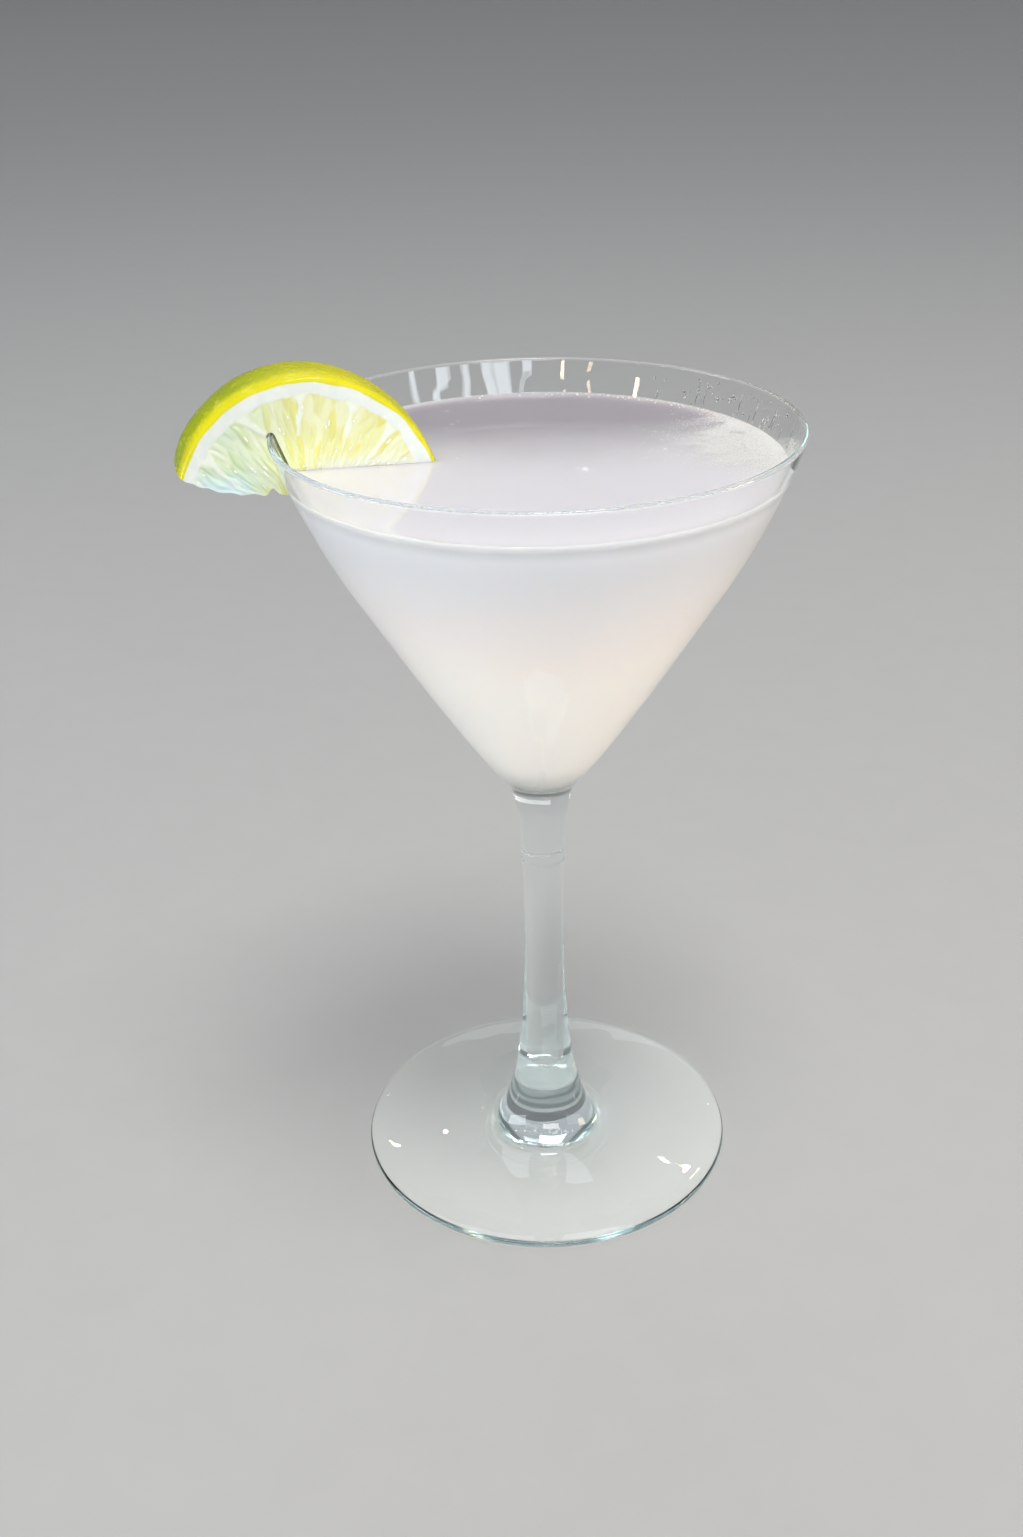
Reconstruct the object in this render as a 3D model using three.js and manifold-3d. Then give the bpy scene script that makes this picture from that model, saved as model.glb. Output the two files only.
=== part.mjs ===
// A stemmed cocktail glass with a cone-shaped bowl, filled almost to the rim with a cloudy
// white lime drink, and a slice of lime slit and pushed down over the rim.
// Millimetres, +Z up. The origin is the centre of the foot's flat underside.

import * as THREE from 'three';
import { mergeVertices } from 'three/addons/utils/BufferGeometryUtils.js';
import Module from 'manifold-3d';

const wasm = await Module();
wasm.setup();

// Glass: heights above the surface it stands on, and radii from its axis
const GLASS_HEIGHT = 185.1;
const RIM_RADIUS = 56.0;
const LIP_WALL = 1.3;
const BASE_WALL = 1.9;
const FOOT_RADIUS = 45.3;
const FOOT_EDGE = 1.8;
const FLARE = { radius: 16.0, height: 3.7 };
const COLLAR = { radius: 8.8, height: 14.0 };
const WAIST = { radius: 4.7, height: 63.0 };
const NECK = { radius: 7.0, height: 99.2 };
const BOWL_BASE = { radius: 9.6, height: 103.2 };
const CONE_START = { radius: 31.4, height: 135.8 };
const CONE_END = { radius: 40.6, height: 150.9 };
const SHOULDER = { radius: 50.0, height: 166.3 };
const BOWL_FLOOR = 104.0;
const FLOOR_ROUNDING_TOP = 110.0;
const ROUND_SEGMENTS = 60;
const CURVE_STEPS = 4;
const LIP_STEPS = 3;

// What the glass's curves bend towards between those heights
const FOOT_BEND = { radius: 25.0, height: 2.3 };
const FLARE_BENDS = [{ radius: 12.2, height: 4.6 }, { radius: 10.2, height: 8.2 }];
const LOW_STEM_BENDS = [{ radius: 6.2, height: 22.0 }, { radius: WAIST.radius, height: 42.0 }];
const HIGH_STEM_BENDS = [{ radius: WAIST.radius, height: 82.0 }, { radius: 5.3, height: 92.0 }];
const NECK_BEND = { radius: 7.5, height: 101.2 };
const BOWL_BEND = { radius: 15.9, height: 110.6 };

// Drink
const DRINK_LEVEL = 176.8;
const GAP = 0.3;
const SLIT_DEPTH = 14.0;

// Lime: a slice a little under half a wheel, standing upright across the rim
const LIME_CENTRE = new THREE.Vector3(-48.0, -3.2, 168.2);
const LIME_YAW = THREE.MathUtils.degToRad(9.4);
const LIME_FRONT_RADIUS = 28.2;
const LIME_BACK_RADIUS = 27.4;
const LIME_THICKNESS = 12.0;
const LIME_SKEW = { across: -1.7, up: 1.6 };
const SKIN_BULGE = 0.5;
const CUT_HEIGHT = 8.6;
const PULP_SAG = 5.0;
const SCALLOP = 0.35;
const SCALLOP_LENGTH = 5.2;
const NOTCH = { across: -7.8, depth: 1.6, width: 1.0 };
const LIME_ARC_STEPS = 48;
const LIME_CUT_STEPS = 30;
const LIME_DEPTH_STEPS = 5;

// Distances under which two points count as one
const SAME_STATION = 1e-6;
const SAME_CORNER = 1e-4;

// A curve from where the path stands to an end, bent towards one or two places.
function curveTo(path, bends, end) {
  const places = [...bends, end].flatMap((place) => [place.radius, place.height]);
  if (bends.length === 1) {
    path.quadraticCurveTo(...places);
  } else {
    path.bezierCurveTo(...places);
  }
}

// The outside of the glass, from the middle of the underside to the top of the wall.
function outerPath() {
  const edge = FOOT_EDGE / 2;
  const lip = LIP_WALL / 2;
  const path = new THREE.Path();
  path.moveTo(0, 0);
  path.lineTo(FOOT_RADIUS - edge, 0);
  path.absarc(FOOT_RADIUS - edge, edge, edge, -Math.PI / 2, Math.PI / 2, false);
  curveTo(path, [FOOT_BEND], FLARE);
  curveTo(path, FLARE_BENDS, COLLAR);
  curveTo(path, LOW_STEM_BENDS, WAIST);
  curveTo(path, HIGH_STEM_BENDS, NECK);
  curveTo(path, [NECK_BEND], BOWL_BASE);
  curveTo(path, [BOWL_BEND], CONE_START);
  path.lineTo(CONE_END.radius, CONE_END.height);
  curveTo(path, [SHOULDER], { radius: RIM_RADIUS, height: GLASS_HEIGHT - lip });
  return path;
}

// Points of the outside at even shares of each curve, without doubled points.
function outerPoints() {
  const points = outerPath().getPoints(CURVE_STEPS);
  return points.filter((p, i) => i === 0 || p.distanceTo(points[i - 1]) > SAME_STATION);
}

// Wall thickness at a height: thin at the lip, thicker towards the bottom of the bowl.
function wallAt(height) {
  const share = (GLASS_HEIGHT - height) / (GLASS_HEIGHT - BOWL_BASE.height);
  return THREE.MathUtils.lerp(LIP_WALL, BASE_WALL, THREE.MathUtils.clamp(share, 0, 1));
}

// A point moved square to the outline by a distance, to its inner side.
function inward(points, i, distance) {
  const before = points[Math.max(i - 1, 0)];
  const after = points[Math.min(i + 1, points.length - 1)];
  const along = after.clone().sub(before).normalize();
  return new THREE.Vector2(points[i].x - along.y * distance, points[i].y + along.x * distance);
}

// The inside of the bowl, from the lip down to the middle of its rounded floor.
function innerPoints(extra) {
  const outside = outerPoints();
  const wall = [];
  outside.forEach((p, i) => {
    if (p.y > BOWL_BASE.height) wall.push(inward(outside, i, wallAt(p.y) + extra));
  });
  const kept = wall.filter((p) => p.y > FLOOR_ROUNDING_TOP).reverse();
  const low = kept[kept.length - 1];
  const next = kept[kept.length - 2];
  const slope = (next.x - low.x) / (next.y - low.y);
  const floor = BOWL_FLOOR + extra;
  const turn = new THREE.Vector2(low.x - slope * (low.y - floor), floor);
  const round = new THREE.QuadraticBezierCurve(low, turn, new THREE.Vector2(0, floor));
  return kept.concat(round.getPoints(CURVE_STEPS).slice(1));
}

function lathe(points) {
  const geometry = new THREE.LatheGeometry(points, ROUND_SEGMENTS);
  geometry.rotateX(Math.PI / 2);
  return geometry;
}

function glassGeometry() {
  const lip = LIP_WALL / 2;
  const outside = outerPoints();
  const inside = innerPoints(0);
  const lipArc = new THREE.Path();
  lipArc.absarc(RIM_RADIUS - lip, GLASS_HEIGHT - lip, lip, 0, Math.PI, false);
  const lipPoints = lipArc.getPoints(LIP_STEPS).slice(1, -1);
  return lathe(outside.concat(lipPoints, inside));
}

// The bowl's wall near the rim, made thicker by the gap on both faces: it cuts the slit.
function slitCutter() {
  const start = DRINK_LEVEL - SLIT_DEPTH;
  const outside = outerPoints();
  const band = [];
  outside.forEach((p, i) => {
    if (p.y > start) band.push(i);
  });
  const outer = band.map((i) => inward(outside, i, -GAP));
  const inner = band.map((i) => inward(outside, i, wallAt(outside[i].y) + GAP)).reverse();
  const top = GLASS_HEIGHT + GAP;
  const lipTop = [new THREE.Vector2(RIM_RADIUS, top), new THREE.Vector2(RIM_RADIUS - LIP_WALL, top)];
  const ring = outer.concat(lipTop, inner);
  ring.push(ring[0].clone());
  return lathe(ring);
}

// How low the cut edge of the slice hangs, measured up from the wheel's centre.
function cutHeight(across, halfWidth) {
  const share = Math.min(Math.abs(across) / halfWidth, 1);
  const sag = PULP_SAG * (1 - share ** 3);
  const scallop = SCALLOP * Math.abs(Math.sin((Math.PI * across) / SCALLOP_LENGTH)) * (1 - share ** 4);
  const notch = NOTCH.depth * Math.exp(-(((across - NOTCH.across) / NOTCH.width) ** 2));
  return CUT_HEIGHT - sag - scallop + notch;
}

function limeOutline(grow) {
  const radius = LIME_FRONT_RADIUS + grow;
  const cut = CUT_HEIGHT - grow;
  const halfWidth = Math.sqrt(radius ** 2 - cut ** 2);
  const startAngle = Math.asin(cut / radius);
  const outline = new THREE.Shape();
  outline.moveTo(halfWidth, cut);
  for (let i = 1; i <= LIME_ARC_STEPS; i += 1) {
    const angle = startAngle + ((Math.PI - 2 * startAngle) * i) / LIME_ARC_STEPS;
    outline.lineTo(radius * Math.cos(angle), radius * Math.sin(angle));
  }
  for (let i = 1; i < LIME_CUT_STEPS; i += 1) {
    const across = -halfWidth + (2 * halfWidth * i) / LIME_CUT_STEPS;
    outline.lineTo(across, cutHeight(across, halfWidth) - grow);
  }
  return outline;
}

// The slice, without its slit. Its skin bulges between the two cut faces, and the back face
// is a little smaller and lies a little up and to the left, as the wheel was cut aslant.
function limeGeometry(grow) {
  const thickness = LIME_THICKNESS + 2 * grow;
  const settings = { depth: thickness, steps: LIME_DEPTH_STEPS, bevelEnabled: false };
  const geometry = new THREE.ExtrudeGeometry(limeOutline(grow), settings);
  const position = geometry.attributes.position;
  for (let i = 0; i < position.count; i += 1) {
    const share = 1 - position.getZ(i) / thickness;
    const taper = (LIME_BACK_RADIUS - LIME_FRONT_RADIUS) * share + SKIN_BULGE * Math.sin(Math.PI * share);
    const scale = 1 + taper / LIME_FRONT_RADIUS;
    const across = position.getX(i) * scale + LIME_SKEW.across * share;
    const up = position.getY(i) * scale + LIME_SKEW.up * share;
    position.setXYZ(i, across, up, position.getZ(i) - thickness + grow);
  }
  const across = new THREE.Vector3(Math.cos(LIME_YAW), Math.sin(LIME_YAW), 0);
  const up = new THREE.Vector3(0, 0, 1);
  const front = across.clone().cross(up);
  geometry.applyMatrix4(new THREE.Matrix4().makeBasis(across, up, front).setPosition(LIME_CENTRE));
  return geometry;
}

function toSolid(geometry) {
  const bare = geometry.clone();
  bare.deleteAttribute('normal');
  bare.deleteAttribute('uv');
  const merged = mergeVertices(bare, SAME_CORNER);
  const corners = [];
  const index = merged.index.array;
  for (let i = 0; i < index.length; i += 3) {
    const [a, b, c] = [index[i], index[i + 1], index[i + 2]];
    if (a !== b && b !== c && c !== a) corners.push(a, b, c);
  }
  const vertProperties = new Float32Array(merged.attributes.position.array);
  const triVerts = new Uint32Array(corners);
  return new wasm.Manifold(new wasm.Mesh({ numProp: 3, vertProperties, triVerts }));
}

function toGeometry(solid) {
  const mesh = solid.getMesh();
  const geometry = new THREE.BufferGeometry();
  geometry.setAttribute('position', new THREE.BufferAttribute(mesh.vertProperties, 3));
  geometry.setIndex(new THREE.BufferAttribute(mesh.triVerts, 1));
  return geometry;
}

function limeSliceGeometry() {
  return toGeometry(toSolid(limeGeometry(0)).subtract(toSolid(slitCutter())));
}

// The drink fills the bowl up to its level and is cut round the part of the slice that dips in.
function drinkGeometry() {
  const wall = innerPoints(GAP);
  const below = wall.filter((p) => p.y < DRINK_LEVEL);
  const above = wall.filter((p) => p.y >= DRINK_LEVEL);
  const upper = above[above.length - 1];
  const share = (DRINK_LEVEL - below[0].y) / (upper.y - below[0].y);
  const edge = below[0].clone().lerp(upper, share);
  const profile = [...below].reverse();
  profile.push(edge, new THREE.Vector2(0, DRINK_LEVEL));
  return toGeometry(toSolid(lathe(profile)).subtract(toSolid(limeGeometry(GAP))));
}

function named(name, geometry, looks) {
  const mesh = new THREE.Mesh(geometry, new THREE.MeshStandardMaterial(looks));
  mesh.name = name;
  return mesh;
}

const clearGlass = { color: 0xeef4f6, roughness: 0.03, metalness: 0, transparent: true, opacity: 0.35 };
const cloudyDrink = { color: 0xe8e8ea, roughness: 0.08, metalness: 0 };
const lime = { color: 0xc9d04a, roughness: 0.35, metalness: 0 };

const cocktail = new THREE.Group();
cocktail.add(named('glass', glassGeometry(), clearGlass));
cocktail.add(named('drink', drinkGeometry(), cloudyDrink));
cocktail.add(named('lime_slice', limeSliceGeometry(), lime));

export default cocktail;
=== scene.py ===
import math

import bpy
import numpy as np
from mathutils import Matrix, Vector, kdtree


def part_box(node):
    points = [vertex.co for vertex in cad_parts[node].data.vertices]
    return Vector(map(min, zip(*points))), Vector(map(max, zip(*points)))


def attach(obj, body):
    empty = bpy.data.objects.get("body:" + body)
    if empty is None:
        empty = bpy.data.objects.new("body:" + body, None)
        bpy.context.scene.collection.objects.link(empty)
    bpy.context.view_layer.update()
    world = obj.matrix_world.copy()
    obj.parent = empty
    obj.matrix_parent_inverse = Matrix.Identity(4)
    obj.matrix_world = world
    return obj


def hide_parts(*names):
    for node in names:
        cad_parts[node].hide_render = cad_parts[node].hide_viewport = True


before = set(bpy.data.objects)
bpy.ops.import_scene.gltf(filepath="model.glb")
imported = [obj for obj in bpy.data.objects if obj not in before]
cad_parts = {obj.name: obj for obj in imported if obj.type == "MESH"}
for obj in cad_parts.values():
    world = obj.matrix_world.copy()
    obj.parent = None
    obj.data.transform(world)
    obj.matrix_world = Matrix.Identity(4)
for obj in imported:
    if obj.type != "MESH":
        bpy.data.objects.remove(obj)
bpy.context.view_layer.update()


# ---- Camera ---------------------------------------------------------------------------
# A guest's eye at the bar: a little over the rim and close, so that the bowl opens wide
# towards the top and the foot looks small.
EYE = Vector((0.0, -0.3474, 0.2861))
LOOK_DOWN = math.radians(27.65)
LEAN = math.radians(-1.29)
TURN = math.radians(-1.15)
LENS = 39.84
SENSOR = 36.0
NEAREST = 0.01

forward = Vector((math.sin(TURN) * math.cos(LOOK_DOWN),
                  math.cos(TURN) * math.cos(LOOK_DOWN),
                  -math.sin(LOOK_DOWN)))
level_right = Vector((math.cos(TURN), -math.sin(TURN), 0.0))
level_up = level_right.cross(forward)
right = math.cos(LEAN) * level_right + math.sin(LEAN) * level_up
up = right.cross(forward)
facing = Matrix((right, up, -forward)).transposed().to_4x4()

eye = bpy.data.objects.new("camera", bpy.data.cameras.new("camera"))
eye.data.lens = LENS
eye.data.sensor_width = SENSOR
eye.data.clip_start = NEAREST
eye.matrix_world = Matrix.Translation(EYE) @ facing
bpy.context.scene.collection.objects.link(eye)
bpy.context.scene.camera = eye
bpy.context.scene.view_settings.view_transform = "Standard"


# ---- Glass ----------------------------------------------------------------------------
# One piece of clear glass: a cone bowl that steepens towards its rim, a drawn stem and a
# flat round foot. The bowl is blown, the stem pulled from its base and the foot cast on,
# and the lip is melted round.
MM = 0.001
glass_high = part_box("glass")[1]
HEIGHT = glass_high.z / MM
RIM_RADIUS = glass_high.x / MM
LIP_WALL = 1.3
BASE_WALL = 1.9
FOOT_RADIUS = 45.3
FOOT_EDGE = 1.8
FOOT_BEND = (25, 2.3)
FLARE = (16.0, 3.7)
FLARE_BENDS = ((12.2, 4.6), (10.2, 8.2))
COLLAR = (8.8, 14.0)
WAIST = (4.7, 63.0)
LOW_STEM_BENDS = ((6.2, 22), (WAIST[0], 42))
HIGH_STEM_BENDS = ((WAIST[0], 82), (5.3, 92))
NECK = (7.0, 99.2)
NECK_BEND = (7.5, 101.2)
BOWL_BASE = (9.6, 103.2)
BOWL_BEND = (15.9, 110.6)
CONE_START = (31.4, 135.8)
CONE_END = (40.6, 150.9)
SHOULDER = (50.0, 166.3)
BOWL_FLOOR = 104.0
FLOOR_ROUNDING_TOP = 110.0
LIP_LEAN = math.atan2(RIM_RADIUS - SHOULDER[0], HEIGHT - LIP_WALL - SHOULDER[1])
UNDER_LIP = 0.15
LIP_STEPS = 22
SEAM_HEIGHT = 80.3
SEAM_RIDGE = 0.15
SEAM_WIDTH = 0.35
SEAM_REACH = 3
SEAM_STEPS = 19
ROUND_STEPS = 384


def curve(steps, *posts):
    """Points along a Bezier curve of any degree, its first post included, its last left out."""
    share = np.linspace(0.0, 1.0, steps, endpoint=False)[:, None]
    layers = [np.tile(np.array(p, float), (steps, 1)) for p in posts]
    while len(layers) > 1:
        layers = [a * (1 - share) + b * share for a, b in zip(layers, layers[1:])]
    return layers[0]


def half_round(steps, middle, radius, start):
    """Points along half a circle, anticlockwise from the start angle, both ends included."""
    turn = np.linspace(start, start + math.pi, steps)
    return np.array(middle) + radius * np.column_stack([np.cos(turn), np.sin(turn)])


def square_to(points):
    """Unit normals of an outline, to the left of the way it runs."""
    along = np.gradient(points, axis=0)
    along /= np.linalg.norm(along, axis=1)[:, None]
    return np.column_stack([-along[:, 1], along[:, 0]])


def outside_of_glass():
    """Radius and height from the middle of the underside up to the lip. The last stretch
    under the lip is short, so that smooth shading turns the corner within it."""
    edge = FOOT_EDGE / 2
    side = (RIM_RADIUS, HEIGHT - LIP_WALL / 2 * (1 + math.sin(LIP_LEAN)))
    below = (side[0] - UNDER_LIP * math.sin(LIP_LEAN), side[1] - UNDER_LIP * math.cos(LIP_LEAN))
    return np.vstack([
        curve(4, (0, 0), (FOOT_RADIUS - edge, 0)),
        half_round(10, (FOOT_RADIUS - edge, edge), edge, -math.pi / 2)[:-1],
        curve(16, (FOOT_RADIUS - edge, FOOT_EDGE), FOOT_BEND, FLARE),
        curve(12, FLARE, *FLARE_BENDS, COLLAR),
        curve(14, COLLAR, *LOW_STEM_BENDS, WAIST),
        curve(22, WAIST, *HIGH_STEM_BENDS, NECK),
        curve(8, NECK, NECK_BEND, BOWL_BASE),
        curve(14, BOWL_BASE, BOWL_BEND, CONE_START),
        curve(3, CONE_START, CONE_END),
        curve(16, CONE_END, SHOULDER, side),
        [below],
        [side],
    ])


def lip_round(steps, gap=0.0):
    """The melted lip: half a circle from the outside of the wall over to the inside."""
    half = LIP_WALL / 2
    middle = (RIM_RADIUS - half * math.cos(LIP_LEAN), HEIGHT - half)
    return half_round(steps, middle, half + gap, -LIP_LEAN)


def wall_at(height):
    """The bowl's wall, which thickens from the lip down to the bowl's base."""
    share = (HEIGHT - height) / (HEIGHT - BOWL_BASE[1])
    return LIP_WALL + (BASE_WALL - LIP_WALL) * np.clip(share, 0, 1)


def inside_of_bowl(extra=0.0):
    """Radius and height from the lip down to the middle of the bowl's rounded floor."""
    outside = outside_of_glass()
    inner = outside + square_to(outside) * (wall_at(outside[:, 1]) + extra)[:, None]
    inner = inner[inner[:, 1] > FLOOR_ROUNDING_TOP]
    inner = inner[::-1]
    low, before = inner[-1], inner[-2]
    slope = (before[0] - low[0]) / (before[1] - low[1])
    floor = BOWL_FLOOR + extra
    bend = (low[0] - slope * (low[1] - floor), floor)
    rounded = curve(14, low, bend, (0, floor))[1:]
    return np.vstack([inner, rounded, [(0, floor)]])


def piece_from(name, points, faces):
    """A smooth mesh piece from points in metres."""
    mesh = bpy.data.meshes.new(name)
    mesh.from_pydata(np.asarray(points).tolist(), [], faces)
    mesh.shade_smooth()
    piece = bpy.data.objects.new(name, mesh)
    bpy.context.scene.collection.objects.link(piece)
    return piece


def turned(name, outline, closed=False, steps=ROUND_STEPS):
    """A solid turned about Z from an outline in millimetres. The outline meets the axis at
    both ends, or closes on itself as a ring."""
    rings = outline if closed else outline[1:-1]
    around = np.linspace(0, 2 * math.pi, steps, endpoint=False)
    x = rings[:, 0, None] * np.cos(around)
    y = rings[:, 0, None] * np.sin(around)
    z = np.repeat(rings[:, 1, None], steps, axis=1)
    points = np.stack([x, y, z], axis=-1).reshape(-1, 3)
    here = np.arange(steps)
    there = (here + 1) % steps
    faces = []
    for ring in range(len(rings) if closed else len(rings) - 1):
        a, b = ring * steps, (ring + 1) % len(rings) * steps
        faces += np.column_stack([a + here, a + there, b + there, b + here]).tolist()
    if not closed:
        first, last = len(points), len(points) + 1
        poles = [[0, 0, outline[0, 1]], [0, 0, outline[-1, 1]]]
        points = np.vstack([points, poles])
        top = (len(rings) - 1) * steps
        faces += [[first, int(j), int(i)] for i, j in zip(here, there)]
        faces += [[last, top + int(i), top + int(j)] for i, j in zip(here, there)]
    return piece_from(name, points * MM, faces)


# Where the stem was drawn, a fine ring stands proud of it, so the outline is finer there.
outside = outside_of_glass()
by_height = outside[np.argsort(outside[:, 1])]
seam_heights = SEAM_HEIGHT + SEAM_WIDTH * np.linspace(-SEAM_REACH, SEAM_REACH, SEAM_STEPS)
seam_radius = np.interp(seam_heights, by_height[:, 1], by_height[:, 0])
seam_radius += SEAM_RIDGE * np.exp(-((seam_heights - SEAM_HEIGHT) / SEAM_WIDTH) ** 2)
seam = np.column_stack([seam_radius, seam_heights])
first, last = np.searchsorted(outside[:, 1], (seam_heights[0], seam_heights[-1]))
outside = np.vstack([outside[:first], seam, outside[last:]])
glass = turned("cocktail_glass", np.vstack([outside, lip_round(LIP_STEPS)[1:-1], inside_of_bowl()]))


class Finish:
    """A material with short calls to add and join its nodes."""

    def __init__(self, name):
        self.material = bpy.data.materials.new(name)
        self.material.use_nodes = True
        self.nodes = self.material.node_tree.nodes
        self.links = self.material.node_tree.links
        self.shader = self.nodes["Principled BSDF"]
        self.output = self.nodes["Material Output"]

    def add(self, kind, **settings):
        node = self.nodes.new(kind)
        for key, value in settings.items():
            setattr(node, key, value)
        return node

    def join(self, source, target):
        self.links.new(source, target)

    def place(self):
        """The piece's own coordinates in metres."""
        return self.add("ShaderNodeTexCoord").outputs["Object"]

    def axes(self):
        """The piece's own coordinates, one by one."""
        node = self.add("ShaderNodeSeparateXYZ")
        self.join(self.place(), node.inputs["Vector"])
        return node.outputs

    def noise(self, scale, detail=3.0, rough=0.5):
        node = self.add("ShaderNodeTexNoise")
        node.inputs["Scale"].default_value = scale
        node.inputs["Detail"].default_value = detail
        node.inputs["Roughness"].default_value = rough
        self.join(self.place(), node.inputs["Vector"])
        return node.outputs["Fac"]

    def spread(self, value, low, high, to_low=0.0, to_high=1.0):
        """Maps a value from one range to another, clamped, with soft ends."""
        node = self.add("ShaderNodeMapRange", interpolation_type="SMOOTHSTEP")
        node.inputs["From Min"].default_value = low
        node.inputs["From Max"].default_value = high
        node.inputs["To Min"].default_value = to_low
        node.inputs["To Max"].default_value = to_high
        self.join(value, node.inputs["Value"])
        return node.outputs["Result"]

    def work_out(self, kind, *values):
        """A sum on numbers or sockets, kept from 0 to 1."""
        node = self.add("ShaderNodeMath", operation=kind, use_clamp=True)
        for socket, value in zip(node.inputs, values):
            self.feed(socket, value)
        return node.outputs["Value"]

    def feed(self, socket, value):
        """Sets a socket to a number or a colour, or joins another socket to it."""
        if isinstance(value, bpy.types.NodeSocket):
            self.join(value, socket)
        elif isinstance(value, tuple):
            socket.default_value = (*value, 1.0)
        else:
            socket.default_value = value

    def blend(self, share, first, second):
        """A colour between two, each a colour or a socket."""
        node = self.add("ShaderNodeMix", data_type="RGBA")
        for slot, value in ((0, share), (6, first), (7, second)):
            self.feed(node.inputs[slot], value)
        return node.outputs[2]

    def relief(self, height, depth, strength):
        node = self.add("ShaderNodeBump")
        node.inputs["Strength"].default_value = strength
        node.inputs["Distance"].default_value = depth
        self.join(height, node.inputs["Height"])
        self.join(node.outputs["Normal"], self.shader.inputs["Normal"])

    def attribute(self, name):
        return self.add("ShaderNodeAttribute", attribute_name=name).outputs["Fac"]

    def drive(self, **sockets):
        """Joins sockets to the shader's inputs."""
        for key, socket in sockets.items():
            self.join(socket, self.shader.inputs[key.replace("_", " ")])

    def set(self, **values):
        """Sets the shader's inputs to plain values."""
        for key, value in values.items():
            self.shader.inputs[key.replace("_", " ")].default_value = value


def lets_light_past(finish, shade):
    """Clear stuff dims a shadow only a little, in place of the light that it bends."""
    path = finish.add("ShaderNodeLightPath")
    clear = finish.add("ShaderNodeBsdfTransparent")
    finish.feed(clear.inputs["Color"], shade)
    choose = finish.add("ShaderNodeMixShader")
    finish.join(path.outputs["Is Shadow Ray"], choose.inputs["Fac"])
    finish.join(finish.shader.outputs["BSDF"], choose.inputs[1])
    finish.join(clear.outputs["BSDF"], choose.inputs[2])
    finish.join(choose.outputs["Shader"], finish.output.inputs["Surface"])


# Faint wipe marks dull the glass here and there, and it is tinted where it is thick.
clear_glass = Finish("clear_glass")
clear_glass.set(Base_Color=(1.0, 1.0, 1.0, 1.0), Transmission_Weight=1.0, IOR=1.5)
wipe_marks = clear_glass.noise(45.0, 4.0, 0.6)
clear_glass.drive(Roughness=clear_glass.spread(wipe_marks, 0.55, 0.8, 0.0, 0.05))
clear_glass.relief(clear_glass.noise(60.0, 1.0), 0.0006, 0.5)
lets_light_past(clear_glass, (0.90, 0.92, 0.92))
tint = clear_glass.add("ShaderNodeVolumeAbsorption")
tint.inputs["Color"].default_value = (0.70, 0.94, 0.96, 1.0)
tint.inputs["Density"].default_value = 12.0
clear_glass.join(tint.outputs["Volume"], clear_glass.output.inputs["Volume"])
glass.data.materials.append(clear_glass.material)
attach(glass, "root")
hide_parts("glass")


# ---- Lime slice -----------------------------------------------------------------------
# A little under half a wheel of lime, cut across the fruit and slit from its straight edge
# so that it straddles the wall. A thin oily skin, white pith, and pulp in segments of
# long juice cells, parted by pale membranes.
LIME_CENTRE = (-48.0, -3.2, 168.2)
LIME_YAW = math.radians(9.4)
FRONT_RADIUS = 28.2
BACK_RADIUS = 27.4
THICKNESS = 12.0
SKEW = (-1.7, 1.6)
SKIN_BULGE = 0.5
EDGE_DROP = 0.55
EDGE_REACH = 0.35
CUT_HEIGHT = 8.6
PULP_SAG = 5.0
FRAY = 0.42
FRAY_SIZE = 1.7
NOTCH_PLACE = -7.8
NOTCH_HEIGHT = 1.6
NOTCH_WIDTH = 1.0
SKIN_DEPTH = 0.9
PITH_DEPTH = 2.7
UNEVEN = 0.25
WAVE_COUNT = 9
FACE_COLUMNS = 340
FACE_ROWS = 82
SKIN_ROWS = 44
MEMBRANES = (
    ((-24.5, 8.2), (-20.0, 2.0)),
    ((-21.5, 13.2), (-13.6, 4.4)),
    ((-13.9, 21.0), (-7.4, 16.2)),
    ((-0.4, 25.4), (-1.6, 16.5)),
    ((10.4, 22.9), (6.2, 9.0)),
    ((18.0, 16.9), (10.5, 7.8)),
    ((24.6, 9.5), (18.0, 4.0)),
)
CELL_WIDTH = 1.25
CELL_LENGTH = 7.0
CELLS_SPREAD_FROM = 3.0
CELL_RADIUS = 19.0
CELL_JITTER = 0.32
CELL_RISE = 0.16
TONE_RISE = 0.18
CELL_GROOVE = 0.15
MEMBRANE_RISE = 0.12
PITH_RISE = 0.05
FRONT_SEED = 21
BACK_SEED = 57


def smooth(value, low, high):
    """Rises softly from 0 to 1 between two values."""
    share = np.clip((value - low) / (high - low), 0, 1)
    return share * share * (3 - 2 * share)


def waves(points, size, seed):
    """Soft uneven values from about -1 to 1 over a plane, with bumps about as wide as size."""
    pick = np.random.default_rng(seed)
    total = np.zeros(len(points))
    for _ in range(WAVE_COUNT):
        way = pick.uniform(0, 2 * math.pi)
        reach = size * pick.uniform(0.7, 1.6)
        across = points[:, 0] * math.cos(way) + points[:, 1] * math.sin(way)
        total += np.sin(2 * math.pi * across / (2 * reach) + pick.uniform(0, 2 * math.pi))
    return total / (WAVE_COUNT / 2)


def tree_of(points):
    """A tree that finds the nearest of some places in a plane."""
    tree = kdtree.KDTree(len(points))
    for i, (x, y) in enumerate(points):
        tree.insert((x, y, 0), i)
    tree.balance()
    return tree


def cut_edge(across, half_width):
    """How low the cut edge of the slice hangs, measured up from the wheel's centre."""
    share = np.minimum(np.abs(across) / half_width, 1)
    sag = PULP_SAG * (1 - share ** 3)
    line = np.column_stack([across, np.zeros(len(across))])
    frayed = FRAY * waves(line, FRAY_SIZE, 3) * (1 - share ** 6)
    notch = NOTCH_HEIGHT * np.exp(-(((across - NOTCH_PLACE) / NOTCH_WIDTH) ** 2))
    return CUT_HEIGHT - sag + notch + frayed


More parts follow.
